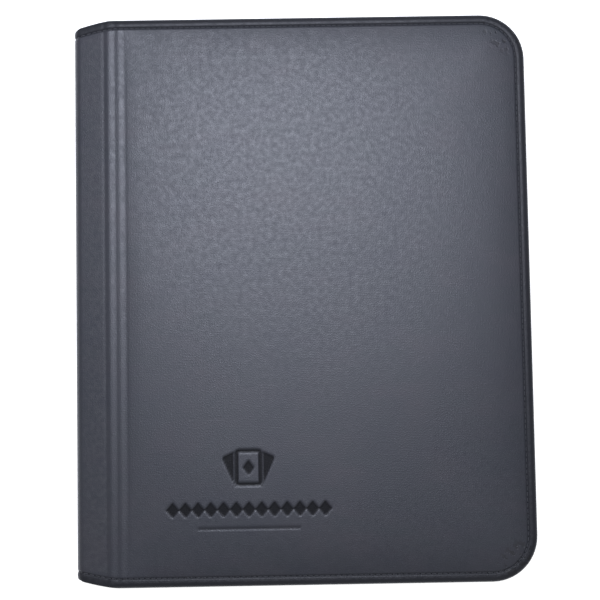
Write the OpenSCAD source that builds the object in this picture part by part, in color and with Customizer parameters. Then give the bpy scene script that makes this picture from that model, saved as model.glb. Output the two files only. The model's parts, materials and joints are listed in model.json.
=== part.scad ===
// Zip-round trading card binder. Two padded covers are joined by a folding spine,
// twenty nine-pocket leaves are welded to the spine, and a zip runs round the other
// three sides. It lies shut on its back cover.
// Millimetres. +X runs from the spine to the fore edge, +Y from tail to head, +Z up.

/* [Binder] */
// Width, from the spine to the fore edge
binder_w = 272; // [270:1:290]
// Height, from tail to head
binder_h = 340; // [336:1:360]
// Thickness when shut
binder_t = 40; // [39:0.5:46]
// Radius of the two fore-edge corners
corner_r = 27; // [20:1:40]

/* [Cover layers] */
// Outer skin, top and turned edge
skin_t = 0.8; // [0.6:0.1:1]
// Foam padding under the skin
foam_t = 1.4; // [1:0.1:1.6]
// Stiff board under the foam
board_t = 2.2; // [1.8:0.1:2.4]
// Cloth lining on the inside
lining_t = 0.6; // [0.4:0.1:0.8]

/* [Spine] */
// Width of each shoulder, from the crease to the spine
shoulder_w = 22; // [20:1:24]
// How far the shoulder slopes down from the crease to the spine
shoulder_drop = 4; // [3:0.25:4.5]
// Thickness of the soft shoulder
shoulder_t = 2.5; // [2:0.1:3]
// Thickness of the spine panel, skin and board together
spine_t = 4; // [3.5:0.1:4.5]
// How much shorter the spine is than the cover at each end
spine_taper = 5; // [4:0.5:9]

/* [Leaves] */
// Number of leaves, an even number
leaf_count = 20; // [10:2:20]
// Clear width of one card pocket
pocket_w = 69; // [67:0.5:70]
// Clear height of one card pocket
pocket_h = 93; // [91:0.5:95]
// Width of the welds between pockets
weld_w = 3; // [2:0.5:4]
// Depth left for a card in a pocket
pocket_gap = 0.35; // [0.32:0.01:0.36]
// Thickness of the clear pocket film
film_t = 0.12; // [0.08:0.01:0.12]
// Thickness of the backing sheet
sheet_t = 0.25; // [0.2:0.01:0.25]

/* [Zip] */
// How far the zip wall stands in from the edge of the cover
zip_inset = 8; // [7.8:0.1:9]
// Thickness of the zip tape
tape_t = 0.8; // [0.6:0.1:0.8]
// Width of one coil row
coil_w = 3; // [2.5:0.1:3.2]
// Depth of one coil row
coil_d = 1.8; // [1.5:0.1:1.9]
// Gap between the two rows while the zip is undone
coil_gap = 1.8; // [1.6:0.1:2]
// Length of the slider
slider_l = 14; // [12:0.5:16]
// Length of the pull, from its pin
pull_l = 26; // [22:1:27]
// Radius of the hole at the end of the pull
pull_hole_r = 1.5; // [1.2:0.1:2]

/* [Hidden] */
$fn = 48;
cover_t = skin_t + foam_t + board_t + lining_t;
half_w = binder_w / 2;
half_h = binder_h / 2;
mid_z = binder_t / 2;
crease_x = shoulder_w - half_w;
// Cut back from the crease so that the panel clears the shoulder as it unfolds.
cover_setback = 0.7;
cover_x = crease_x + cover_setback;

// Section of the spine, as corners on its outer surface.
shoulder_angle = atan(shoulder_drop / shoulder_w);
shoulder_l = norm([shoulder_w, shoulder_drop]);
spine_l = binder_t - 2 * shoulder_drop;
mitre = (90 - shoulder_angle) / 2;
fold_gap = 0.15;
crease_cut = 0.5;
spine_skin_t = 1.6;

// Leaves stand clear of the page binding on a thin flexing edge.
binding_t = 1.4;
binding_margin = 0.65;
root_gap = 0.3;
root_x = -half_w + spine_t + binding_t + root_gap;
flex_w = 5;
flex_t = 0.12;
flex_end = 10;
leaf_t = sheet_t + 2 * (pocket_gap + film_t);
leaf_pitch = 1.3;
leaf_w = 246;
film_margin = 1;
film_w = 3 * pocket_w + 4 * weld_w;
film_h = 3 * pocket_h + 4 * weld_w;
leaf_margin = 2;
leaf_h = film_h + 2 * leaf_margin;
leaf_corner = 4;
film_x = root_x + leaf_w - film_margin - film_w;
slit_w = 2;
slit_end = 2;

// Zip levels: the tape's outer face, and where the two rows begin.
tape_y = half_h - zip_inset;
zip_x = crease_x + 3;
slider_home = zip_x + slider_l / 2;
coil_clear = 1;
coil_front_x = zip_x + slider_l + coil_clear;
row_z = mid_z + coil_gap / 2;
slider_gap = 0.3;
plate_t = 1.3;
inner_plate_t = 1.2;
flange_t = 0.9;
flange_setback = 2;
slider_half = row_z + coil_w + slider_gap + flange_t - mid_z;
bridge_w = coil_gap - 2 * slider_gap;
bridge_l = 3.5;
plate_y = tape_y + coil_d + slider_gap;
pin_r = 0.6;
pin_y = plate_y + plate_t + slider_gap + pin_r;
crown_l = 8;
crown_w = 2;
crown_t = 1;
crown_post = 1.2;
pull_w = 6.8;
pull_arm = 1.6;
pull_arm_l = 6.5;

SKINS = ["skin", "foam", "board", "lining", "zip_tape", "zip_coil"];

function leaf_name(i) = str("leaf_", i < 10 ? "0" : "", i);

// Height of a leaf's middle plane above the table.
function leaf_z(i) = mid_z + (i - (leaf_count + 1) / 2) * leaf_pitch;

// Outline of a cover, drawn in by inset, from x0 to the fore edge.
module outline(inset, x0) {
    x1 = half_w - inset;
    y1 = half_h - inset;
    r = corner_r - inset;
    translate([x0, -y1]) square([x1 - r - x0, 2 * y1]);
    translate([x1 - r - 0.01, r - y1]) square([r + 0.01, 2 * (y1 - r)]);
    for (s = [-1, 1]) translate([x1 - r, s * (y1 - r)]) circle(r, $fn = 96);
}

// Flat layer of a cover between two heights.
module layer(inset, z0, z1) {
    translate([0, 0, z0]) linear_extrude(z1 - z0) outline(inset, cover_x + inset);
}

// Upstanding strip that follows the outline round three sides.
module wall(inset, thick, x0, z0, z1) {
    translate([0, 0, z0])
        linear_extrude(z1 - z0)
            difference() {
                outline(inset, x0);
                outline(inset + thick, x0 - 1);
            }
}

// The same part for the front cover, turned over from the back one.
module turned_over() {
    translate([0, 0, binder_t]) mirror([0, 0, 1]) children();
}

// Layers of the back cover, from the table up.
module cover_skin() {
    color([0.2, 0.21, 0.24])
        difference() {
            layer(0, 0, cover_t);
            layer(skin_t, skin_t, cover_t + 1);
        }
}

module cover_foam() {
    color([0.32, 0.32, 0.33]) layer(skin_t, skin_t, skin_t + foam_t);
}

module cover_board() {
    color([0.55, 0.5, 0.42])
        layer(skin_t, skin_t + foam_t, skin_t + foam_t + board_t);
}

module cover_lining() {
    color([0.1, 0.1, 0.11]) layer(skin_t, cover_t - lining_t, cover_t);
}

// Woven tape from the cover up to the zip's opening.
module zip_tape() {
    color([0.08, 0.08, 0.09])
        wall(zip_inset, tape_t, zip_x, cover_t, mid_z - coil_gap / 2);
}

// Row of nylon coil stitched to the outer face of the tape's edge.
module zip_coil(x0) {
    top = mid_z - coil_gap / 2;
    color([0.13, 0.13, 0.14])
        wall(zip_inset - coil_d, coil_d, x0, top - coil_w, top);
}

// Trapezium section with its first corner at the origin, mitred at both ends.
module strip_section(len, t0, t1, cut0, angle0, cut1, angle1) {
    polygon([
        [cut0 + t0 * tan(angle0), t0],
        [len - cut1 - t0 * tan(angle1), t0],
        [len - cut1 - t1 * tan(angle1), t1],
        [cut0 + t1 * tan(angle0), t1]
    ]);
}

// Carries a section in X and Z along the binder's height, with its ends tapered.
module along_spine() {
    intersection() {
        rotate([90, 0, 0]) linear_extrude(binder_h, center = true) children();
        translate([0, 0, -1])
            linear_extrude(binder_t + 2)
                polygon([
                    [-half_w, spine_taper - half_h], [crease_x, -half_h],
                    [crease_x, half_h], [-half_w, half_h - spine_taper]
                ]);
    }
}

module shoulder() {
    color([0.2, 0.21, 0.24])
        along_spine()
            translate([-half_w, shoulder_drop])
                rotate(-shoulder_angle)
                    strip_section(
                        shoulder_l, 0, shoulder_t, fold_gap, mitre, crease_cut, 0
                    );
}

// Layer of the spine panel between two depths from its outer face.
module spine_layer(t0, t1) {
    along_spine()
        translate([-half_w, shoulder_drop])
            rotate(90)
                mirror([0, 1])
                    strip_section(spine_l, t0, t1, fold_gap, mitre, fold_gap, mitre);
}

module spine_skin() {
    color([0.2, 0.21, 0.24]) spine_layer(0, spine_skin_t);
}

module spine_board() {
    color([0.55, 0.5, 0.42]) spine_layer(spine_skin_t, spine_t);
}

// Strip on the inside of the spine that the leaves are welded to.
module page_binding() {
    z0 = leaf_z(1) - binding_margin;
    color([0.1, 0.1, 0.11])
        translate([-half_w + spine_t, -leaf_h / 2, z0])
            cube([binding_t, leaf_h, binder_t - 2 * z0]);
}

// Folded cloth tabs that close the ends of the spine beside the zip.
module zip_end_tabs() {
    tab_h = 12;
    tab_t = 1;
    tab_gap = 2;
    tab_y = tape_y - tape_t - tab_t;
    color([0.12, 0.12, 0.13])
        for (s = [-1, 1])
            translate([-half_w + spine_t, s * (tab_y + tab_t / 2) - tab_t / 2, mid_z - tab_h / 2])
                cube([zip_x - tab_gap + half_w - spine_t, tab_t, tab_h]);
}

// Plate lying against the zip wall, with its corners rounded.
module zip_plate(len, wide, y0, y1) {
    r = 2;
    translate([0, -y0, mid_z])
        rotate([90, 0, 0])
            linear_extrude(y1 - y0) {
                square([len - 2 * r, wide], center = true);
                square([len, wide - 2 * r], center = true);
                for (a = [-1, 1], b = [-1, 1])
                    translate([a * (len / 2 - r), b * (wide / 2 - r)]) circle(r);
            }
}

// Die-cast slider: two plates round the coils, joined between the rows.
module zip_slider() {
    inner_y = tape_y - tape_t - slider_gap;
    color([0.16, 0.16, 0.17])
        translate([slider_home, 0, 0]) {
            zip_plate(slider_l, 2 * slider_half, plate_y, plate_y + plate_t);
            zip_plate(slider_l, 2 * slider_half, inner_y - inner_plate_t, inner_y);
            for (s = [-1, 1])
                translate([
                    flange_setback - slider_l / 2, -plate_y,
                    mid_z + s * (slider_half - flange_t / 2) - flange_t / 2
                ])
                    cube([slider_l - 2 * flange_setback, coil_d, flange_t]);
            translate([slider_l / 2 - bridge_l, -plate_y - 0.1, mid_z - bridge_w / 2])
                cube([bridge_l, plate_y - inner_y + 0.2, bridge_w]);
            zip_crown();
        }
}

// Arch over the slider that the pull's pin turns under.
module zip_crown() {
    low = plate_y + plate_t;
    high = pin_y + pin_r + slider_gap;
    translate([-crown_l / 2, -high - crown_t, mid_z - crown_w / 2])
        difference() {
            cube([crown_l, high + crown_t - low, crown_w]);
            translate([crown_post, crown_t, -1])
                cube([crown_l - 2 * crown_post, high - low + 1, crown_w + 2]);
        }
}

// Flat pull with a pin at one end and a hole at the other.
module zip_pull() {
    end_r = pull_w / 2;
    color([0.16, 0.16, 0.17])
        translate([slider_home, -pin_y, mid_z])
            difference() {
                union() {
                    cylinder(h = pull_w, r = pin_r, center = true);
                    for (s = [-1, 1])
                        translate([0, -pin_r, s * (pull_w - pull_arm) / 2 - pull_arm / 2])
                            cube([pull_arm_l + 0.1, 2 * pin_r, pull_arm]);
                    translate([pull_arm_l, -pin_r, -pull_w / 2])
                        cube([pull_l - pull_arm_l - end_r, 2 * pin_r, pull_w]);
                    translate([pull_l - end_r, 0, 0])
                        rotate([90, 0, 0])
                            cylinder(h = 2 * pin_r, r = end_r, center = true);
                }
                translate([pull_l - end_r, 0, 0])
                    rotate([90, 0, 0])
                        cylinder(h = 2 * pin_r + 2, r = pull_hole_r, center = true);
            }
}

// Backing sheet of one leaf, with its flexing edge at the spine.
module leaf_sheet(i) {
    color([0.07, 0.07, 0.08])
        translate([root_x, 0, leaf_z(i)])
            intersection() {
                rotate([90, 0, 0])
                    linear_extrude(leaf_h, center = true) {
                        translate([0, -flex_t / 2]) square([flex_w + 1, flex_t]);
                        translate([flex_w, -sheet_t / 2])
                            square([leaf_w - flex_w, sheet_t]);
                    }
                translate([0, 0, -1])
                    linear_extrude(2)
                        leaf_outline();
            }
}

// Leaf outline, with its root narrowed and its free corners cut off.
module leaf_outline() {
    y1 = leaf_h / 2;
    half = [
        [0, y1 - flex_end], [flex_w, y1 - flex_end], [flex_w + flex_end, y1],
        [leaf_w - leaf_corner, y1], [leaf_w, y1 - leaf_corner]
    ];
    n = len(half) - 1;
    polygon(concat(half, [for (k = [n:-1:0]) [half[k][0], -half[k][1]]]));
}

// Clear film on both faces of a leaf: nine pockets each, slit on the spine side.
module leaf_pockets(i) {
    color([0.75, 0.78, 0.8])
        for (face = [0, 1])
            translate([film_x, -film_h / 2, leaf_z(i)])
                mirror([0, 0, face])
                    translate([0, 0, sheet_t / 2])
                        pocket_film();
}

module pocket_film() {
    difference() {
        cube([film_w, film_h, pocket_gap + film_t]);
        for (column = [0:2], row = [0:2])
            translate([
                weld_w + column * (pocket_w + weld_w),
                weld_w + row * (pocket_h + weld_w), 0
            ]) {
                translate([0, 0, -1]) cube([pocket_w, pocket_h, pocket_gap + 1]);
                translate([0, slit_end, 0]) cube([slit_w, pocket_h - 2 * slit_end, 1]);
            }
    }
}

turned_over() cover_skin();  // front_skin
turned_over() cover_foam();  // front_foam
turned_over() cover_board();  // front_board
turned_over() cover_lining();  // front_lining
turned_over() zip_tape();  // front_zip_tape
turned_over() zip_coil(coil_front_x);  // front_zip_coil
cover_skin();  // back_skin
cover_foam();  // back_foam
cover_board();  // back_board
cover_lining();  // back_lining
zip_tape();  // back_zip_tape
zip_coil(zip_x);  // back_zip_coil
turned_over() shoulder();  // front_shoulder
shoulder();  // back_shoulder
spine_skin();
spine_board();
page_binding();
zip_end_tabs();
zip_slider();
zip_pull();
for (i = [1:leaf_count]) {
    leaf_sheet(i);
    leaf_pockets(i);
}
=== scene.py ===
import json
import math
from functools import partial

import bmesh
import bpy
from mathutils import Euler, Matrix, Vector


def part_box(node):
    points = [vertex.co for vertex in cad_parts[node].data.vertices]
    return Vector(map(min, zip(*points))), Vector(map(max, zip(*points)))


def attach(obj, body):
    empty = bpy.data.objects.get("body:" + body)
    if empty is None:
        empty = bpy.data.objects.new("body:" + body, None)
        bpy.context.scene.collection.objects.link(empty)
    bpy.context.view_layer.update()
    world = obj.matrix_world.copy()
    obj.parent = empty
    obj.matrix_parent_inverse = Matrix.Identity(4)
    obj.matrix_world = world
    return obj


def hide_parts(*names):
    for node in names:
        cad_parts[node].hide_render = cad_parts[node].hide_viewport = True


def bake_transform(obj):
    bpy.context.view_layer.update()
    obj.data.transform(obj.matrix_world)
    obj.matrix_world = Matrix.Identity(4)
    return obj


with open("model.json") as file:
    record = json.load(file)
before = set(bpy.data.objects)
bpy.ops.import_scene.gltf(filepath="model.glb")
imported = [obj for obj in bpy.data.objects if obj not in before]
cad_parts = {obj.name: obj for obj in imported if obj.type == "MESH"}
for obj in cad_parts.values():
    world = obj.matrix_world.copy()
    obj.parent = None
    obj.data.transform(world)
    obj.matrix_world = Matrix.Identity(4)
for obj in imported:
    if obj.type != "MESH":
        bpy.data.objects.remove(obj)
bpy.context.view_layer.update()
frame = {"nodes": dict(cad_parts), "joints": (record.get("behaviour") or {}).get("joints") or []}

MM = 0.001
JOINTS = {j["name"]: j for j in frame["joints"]}
SIDES = ("front", "back")

# ---------------- sizes, from the frame and given here

PANEL_LOW, PANEL_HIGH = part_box("front_skin")
HALF_W, HALF_H, TOP = PANEL_HIGH
COVER_T = PANEL_HIGH.z - PANEL_LOW.z
MID = TOP / 2
CREASE_X, _, _ = JOINTS["front_crease"]["pos_m"]
FOLD_X, _, FOLD_Z = JOINTS["cover_fold"]["pos_m"]
SPINE_HALF_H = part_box("spine_skin")[1].y
SPINE_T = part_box("spine_board")[1].x - FOLD_X
TAPE_LOW, TAPE_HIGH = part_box("front_zip_tape")
COIL_LOW, COIL_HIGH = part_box("front_zip_coil")
ZIP_INSET = HALF_W - TAPE_HIGH.x
COIL_D = COIL_HIGH.x - TAPE_HIGH.x
CORNER_R = 27 * MM
CORNER_X, CORNER_Y = HALF_W - CORNER_R, HALF_H - CORNER_R
SHOULDER_T = 2.5 * MM
MID_SHOULDER = CREASE_X - 11.5 * MM

# Radii of the outer surface where it turns down at the crease and at the spine.
CREASE_ROUND, FOLD_ROUND = 12 * MM, 5 * MM

# The ends draw in from the crease to the spine on a curve of this power.
TAPER_REACH, TAPER_POWER = 3 * MM, 1.4

# Where the thickness starts to change, before the fold and the crease, and over how much.
FOLD_EASE, FOLD_EASE_RUN = 4 * MM, 6 * MM
CREASE_EASE, CREASE_EASE_RUN = 2.5 * MM, 5 * MM

# Where the seam, the face's grid and the lining's edge run, in from the outline.
SEAM = 5.5 * MM
GRID_INSET = 9 * MM
LINING_INSET = 7.2 * MM

# How far the padding stands proud, and how it falls towards the seam and the crease.
CROWNS = {"front": 2.2 * MM, "back": 0.3 * MM}
CROWN_SIDE_RUN, CROWN_STEP_RUN, CROWN_SLOPE_RUN = 20 * MM, 4 * MM, 40 * MM
CROWN_START = 9 * MM

# Lines beside the crease: place from it, depth, where a raised one is negative, and width.
HINGE_LINES = (
    (-3.8, 0.15, 1.1), (-1.3, -0.17, 1.3), (2.6, 0.19, 1.3), (5.4, -0.1, 1.2), (8.2, 0.08, 1.3),
)

# How strong the painted shade in the pressed lines, rim and edges is, and the painted light on the
# shoulder.
HINGE_LINE_SHADE, RIM_SHADE, EDGE_SHADE, SHOULDER_LIGHT = 0.7, 0.6, 0.3, 0.6

# The covering gathers at the corners, from this far from their centre and over this much.
PUCKER_START, PUCKER_RUN = 8 * MM, 11 * MM

# The region of the face that has a fine grid, for the pressed mark.
LOW_LINE, HIGH_LINE = -145 * MM, -84 * MM
MARK_LEFT, MARK_RIGHT = -90 * MM, 22 * MM

# The mark, in millimetres: a fan of cards with a gem, a row and a rule. An edge is where a
# shape starts to fade and over how much.
MARK_X, MARK_DEPTH, MARK_TONE = -34, 0.55 * MM, 0.9
FAN_Y, FAN_HALF_W, FAN_HALF_H, FAN_TURN, FAN_SPREAD = -100.5, 24, 17.5, 0.42, 5.2
CARD_W, CARD_H, CARD_R, CARD_LINE, CARD_SOFT = 7.0, 9.8, 1.6, 0.7, 0.7
CARD_REACH, CARD_GAP = -0.3, 1.3
GEM_W, GEM_H, GEM_EDGE = 3.6, 5.0, (0.8, 0.25)
ROW_Y, ROW_HALF_W, ROW_STEP = -125, 49, 7.5
LOZENGE_W, LOZENGE_H, LOZENGE_EDGE = 4.1, 4.8, (0.86, 0.22)
RULE_Y, RULE_HALF_W, RULE_END, RULE_TONE, RULE_EDGE = -136, 31, 1.5, 0.5, (0.5, 0.6)


# ---------------- shaping helpers

def rise(x, start, run):
    """0 up to start, rising smoothly to 1 over the run."""
    share = min(1.0, max(0.0, (x - start) / run))
    return share * share * (3 - 2 * share)


def bump(x, centre, width):
    """1 at the centre of a rounded line, falling to 0 beside it."""
    return math.exp(-(((x - centre) / width) ** 2))


def spread(start, end, step):
    """Evenly spaced values from start to end, about a step apart."""
    count = max(1, round(abs(end - start) / step))
    return [start + (end - start) * k / count for k in range(count + 1)]


def joined(*runs):
    """Runs of values, one after another, without the ends they share."""
    values = list(runs[0])
    for run in runs[1:]:
        values += list(run)[1:]
    return values


def left_of(direction):
    return Vector((-direction.y, direction.x))


def rounded_path(corners, radii):
    """Lines and arcs through corners in X and Z, each turn to the left rounded."""
    pieces, start = [], Vector(corners[0])
    for before, corner, after, radius in zip(corners, corners[1:], corners[2:], radii):
        ahead = (Vector(corner) - Vector(before)).normalized()
        onward = (Vector(after) - Vector(corner)).normalized()
        turn = ahead.angle(onward)
        trim = radius * math.tan(turn / 2)
        end = Vector(corner) - ahead * trim
        pieces.append((start, ahead, (end - start).length, 0))
        pieces.append((end, ahead, radius * turn, radius))
        start = Vector(corner) + onward * trim
    pieces.append((start, onward, (Vector(corners[-1]) - start).length, 0))
    return pieces


SECTION = rounded_path(
    [(HALF_W, TOP), (CREASE_X, TOP), (FOLD_X, FOLD_Z), (FOLD_X, MID)],
    [CREASE_ROUND, FOLD_ROUND],
)
SECTION_END = HALF_W - sum(piece[2] for piece in SECTION)


def section(u):
    """Point of the front's outer surface, and the way in, where u is x on the cover and
    runs on at the same rate over the crease, down the shoulder and down the spine."""
    gone = HALF_W - u
    for start, ahead, length, radius in SECTION:
        if gone <= length or (start, ahead) == SECTION[-1][:2]:
            break
        gone -= length
    if not radius:
        return start + ahead * gone, left_of(ahead)
    turn = gone / radius
    centre = start + left_of(ahead) * radius
    c, s = math.cos(turn), math.sin(turn)
    way = Vector((ahead.x * c - ahead.y * s, ahead.x * s + ahead.y * c))
    return centre - left_of(way) * radius, left_of(way)


def half_height(u):
    """Half of the binder's height at u: it narrows from the crease to the spine."""
    share = (CREASE_X + TAPER_REACH - u) / (CREASE_X - FOLD_X + TAPER_REACH)
    return HALF_H - (HALF_H - SPINE_HALF_H) * min(1.0, max(0.0, share)) ** TAPER_POWER


def thickness(u):
    """Thickness of cover, shoulder and spine at u."""
    near_spine = rise(FOLD_X - u, -FOLD_EASE, FOLD_EASE_RUN)
    beside_cover = rise(u - CREASE_X, -CREASE_EASE, CREASE_EASE_RUN)
    thin = SHOULDER_T + (SPINE_T - SHOULDER_T) * near_spine
    return thin + (COVER_T - thin) * beside_cover


def straight(u):
    """A station across the cover: where it lies and its half height, at an inset."""
    return lambda inset: (u, half_height(u) - inset)


def round_corner(angle):
    """A station that ends on the two fore-edge corners."""
    def at(inset):
        radius = CORNER_R - inset
        return CORNER_X + radius * math.sin(angle), CORNER_Y + radius * math.cos(angle)
    return at


def corner_stations(count=14):
    return [round_corner(math.pi / 2 * k / count) for k in range(1, count + 1)]


def inset_of(u, y):
    """Distance in from the outline."""
    if u > CORNER_X and abs(y) > CORNER_Y:
        return CORNER_R - math.hypot(u - CORNER_X, abs(y) - CORNER_Y)
    return min(half_height(u) - abs(y), HALF_W - u)


def pucker(x, y):
    """How much the covering gathers at x and y round a fore-edge corner: a bump and painted shade.
    """
    out, aside = x - CORNER_X, abs(y) - CORNER_Y
    if out <= 0 or aside <= 0:
        return 0.0
    diagonal = math.sin(2 * math.atan2(aside, out))
    return diagonal * rise(math.hypot(out, aside), PUCKER_START, PUCKER_RUN)


class Shell:
    """Collects points, faces and painted values, and makes one mesh piece of them."""

    def __init__(self, side="front"):
        self.side, self.points, self.faces, self.slots = side, [], [], []
        self.painted = {"press_and_shade": [], "wear_and_light": []}

    def add(self, x, y, z, press_and_shade=0.0, wear_and_light=0.0):
        self.points.append((x, y, z if self.side == "front" else TOP - z))
        self.painted["press_and_shade"].append(press_and_shade)
        self.painted["wear_and_light"].append(wear_and_light)
        return len(self.points) - 1

    def face(self, corners, slot=0):
        self.faces.append(corners)
        self.slots.append(slot)

    def make(self, name, *materials, crisp=35):
        """The piece. Edges that turn by more than crisp degrees stay sharp."""
        mesh = bpy.data.meshes.new(name)
        mesh.from_pydata(self.points, [], self.faces)
        self.painted["pucker"] = [pucker(x, y) for x, y, z in self.points]
        mesh.polygons.foreach_set("material_index", self.slots)
        for key, values in self.painted.items():
            mesh.attributes.new(key, "FLOAT", "POINT").data.foreach_set("value", values)
        for material in materials:
            mesh.materials.append(material)
        work = bmesh.new()
        work.from_mesh(mesh)
        bmesh.ops.recalc_face_normals(work, faces=work.faces)
        sharp = math.radians(crisp)
        for face in work.faces:
            face.smooth = True
        for edge in work.edges:
            edge.smooth = len(edge.link_faces) == 2 and edge.calc_face_angle() < sharp
        work.to_mesh(mesh)
        work.free()
        piece = bpy.data.objects.new(name, mesh)
        bpy.context.scene.collection.objects.link(piece)
        return piece


def slab(shell, stations, rows, top, bottom, profile, far_round, inner_slot=0):
    """A closed sheet with thickness along the section. Its long sides, and its far end if
    far_round, have the profile's rings; the other ends are cut square."""
    last, rings = len(stations) - 1, []

    def put(i, v, inset, depth, press_and_shade=0.0, wear_and_light=0.0):
        u, half = stations[i](inset)
        point, inward = section(u)
        spot = point + inward * depth
        return shell.add(spot.x, v * half, spot.y, press_and_shade, wear_and_light)

    def grid(inset, layer):
        lines = []
        for i, station in enumerate(stations):
            u, half = station(inset)
            lines.append([put(i, v, inset, *layer(u, v * half)) for v in rows])
        return lines

    steps = profile(stations[0](0)[0])
    tops = grid(steps[0][0], top)
    bottoms = grid(steps[-1][0], bottom)
    near_side = [(i, 0) for i in range(last + 1)]
    far_side = [(i, len(rows) - 1) for i in range(last, -1, -1)]
    end = [(last, j) for j in range(1, len(rows) - 1)]
    chains = [near_side + end + far_side] if far_round else [near_side, far_side]
    corner_rings = {}
    for chain in chains:
        loops = [[tops[i][j] for i, j in chain]]
        for k in range(1, len(steps) - 1):
            loop = []
            for i, j in chain:
                ring = profile(stations[i](0)[0])[k]
                loop.append(put(i, rows[j], *ring))
                corner_rings.setdefault((i, j), []).append(loop[-1])
            loops.append(loop)
        loops.append([bottoms[i][j] for i, j in chain])
        rings.append(loops)
    for i in range(last):
        for j in range(len(rows) - 1):
            for slot, layer in enumerate((tops, bottoms)):
                corners = (layer[i][j], layer[i + 1][j], layer[i + 1][j + 1], layer[i][j + 1])
                shell.face(corners, slot * inner_slot)
    for loops in rings:
        for upper, lower in zip(loops, loops[1:]):
            for k in range(len(upper) - 1):
                shell.face((upper[k], upper[k + 1], lower[k + 1], lower[k]))
    for i in [0] if far_round else [0, last]:
        head, tail = corner_rings[(i, len(rows) - 1)], corner_rings[(i, 0)]
        shell.face(tuple(tops[i] + head + bottoms[i][::-1] + tail[::-1]))


def rim(inset, start_x):
    """The outline's length at an inset from start_x round to start_x, and its point and
    outward direction at a distance along it."""
    radius = CORNER_R - inset
    side, bend, fore = CORNER_X - start_x, radius * math.pi / 2, 2 * CORNER_Y
    total = 2 * (side + bend) + fore

    def at(s):
        flip = -1 if s <= total / 2 else 1
        s = min(s, total - s)
        if s < side:
            return Vector((start_x + s, flip * (CORNER_Y + radius))), Vector((0, flip))
        if s < side + bend:
            turn = (s - side) / radius
            out = Vector((math.sin(turn), flip * math.cos(turn)))
            return Vector((CORNER_X, flip * CORNER_Y)) + out * radius, out
        y = flip * (CORNER_Y - (s - side - bend))
        return Vector((CORNER_X + radius, y)), Vector((1, 0))

    return total, at


def lifted(u, y, depth):
    """Point of the front's shape, that far under its outer surface."""
    point, inward = section(u)
    spot = point + inward * depth
    return Vector((spot.x, y, spot.y))


# A bar steeper than this is turned about X, not about Z.
STEEP = 0.8


def tube(shell, centres, radius, sides=6, slot=0, across=None):
    """A round bar along the centres, with closed ends."""
    loops = []
    for k, centre in enumerate(centres):
        ahead = (centres[min(k + 1, len(centres) - 1)] - centres[max(k - 1, 0)]).normalized()
        hint = across[k] if across else Vector((1, 0, 0) if abs(ahead.z) > STEEP else (0, 0, 1))
        aside = hint.cross(ahead).normalized()
        over = ahead.cross(aside)
        loops.append([])
        for m in range(sides):
            turn = 2 * math.pi * m / sides
            spot = centre + aside * radius * math.cos(turn) + over * radius * math.sin(turn)
            loops[-1].append(shell.add(*spot))
    close_loops(shell, loops, slot)


def close_loops(shell, loops, slot):
    """The skin over a row of closed loops, and a face at each end."""
    for near, far in zip(loops, loops[1:]):
        for m in range(len(near)):
            n = (m + 1) % len(near)
            shell.face((near[m], near[n], far[n], far[m]), slot)
    shell.face(tuple(loops[0]), slot)
    shell.face(tuple(loops[-1]), slot)


# One stitch: shares of its reach along the seam, and how deep it lies there, in millimetres.
STITCH = ((-1.0, 0.34), (-0.72, 0.06), (0.0, 0.0), (0.72, 0.06), (1.0, 0.34))
STITCH_PITCH, STITCH_REACH = 3.3 * MM, 1.25 * MM
THREAD_R, THREAD_SIDES = 0.23 * MM, 5


def sew(shell, place, total, slot):
    """Stitches along a line: place(distance, sunk) is a point on it, sunk into its face."""
    count = max(1, int(total / STITCH_PITCH))
    for k in range(count):
        middle = (k + 0.5) * total / count
        points = [place(middle + share * STITCH_REACH, sunk * MM) for share, sunk in STITCH]
        tube(shell, points, THREAD_R, THREAD_SIDES, slot)


RIBBON_STEP = 2.5 * MM


def ribbon(shell, ring, start_x, slot=0):
    """Sweeps a ring of (distance in from the zip's line, z) round the three open sides."""
    total, at = rim(ZIP_INSET, start_x)
    loops = []
    for s in spread(0, total, RIBBON_STEP):
        spot, out = at(s)
        loops.append([shell.add(*(spot - out * inward), z) for inward, z in ring])
    close_loops(shell, loops, slot)
    return total


def eased(corners, radius):
    """A closed outline with its corners rounded."""
    outline, count = [], len(corners)
    for k, corner in enumerate(corners):
        here = Vector(corner)
        before = (Vector(corners[k - 1]) - here).normalized() * radius
        after = (Vector(corners[(k + 1) % count]) - here).normalized() * radius
        for share in (0.0, 0.3, 0.7, 1.0):
            outline.append(here + before * (1 - share) ** 2 + after * share ** 2)
    return outline


def rectangle(low_a, low_b, high_a, high_b, radius):
    return eased([(low_a, low_b), (high_a, low_b), (high_a, high_b), (low_a, high_b)], radius)


def shrunk(outline, inset):
    """An outline, anticlockwise, drawn in by an inset."""
    moved = []
    for k, here in enumerate(outline):
        ahead = (outline[(k + 1) % len(outline)] - outline[k - 1]).normalized()
        moved.append(here + left_of(ahead) * inset)
    return moved


def prism(shell, outline, thick, place, soft, slot=0, hole=None):
    """A plate of that outline with eased edges; place(a, b, height) is a point of it. The
    hole is (centre, radius) and the outline goes once round it."""
    rings, holes = [], []
    roll = 0.3 * soft
    for inset, height in (
        (soft, 0), (roll, roll), (0, soft), (0, thick - soft), (roll, thick - roll), (soft, thick),
    ):
        rings.append([shell.add(*place(p.x, p.y, height)) for p in shrunk(outline, inset)])
        if hole:
            centre, radius = Vector(hole[0]), hole[1] + inset
            spots = [centre + (p - centre).normalized() * radius for p in outline]
            holes.append([shell.add(*place(p.x, p.y, height)) for p in spots])
    count = len(outline)
    for k in range(count):
        n = (k + 1) % count
        for loops in (rings, holes):
            for low, high in zip(loops, loops[1:]):
                shell.face((low[k], low[n], high[n], high[k]), slot)
        for level in (0, -1) if hole else ():
            shell.face((rings[level][k], rings[level][n], holes[level][n], holes[level][k]), slot)
    if not hole:
        shell.face(tuple(rings[0]), slot)
        shell.face(tuple(rings[-1]), slot)


# ---------------- materials

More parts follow.
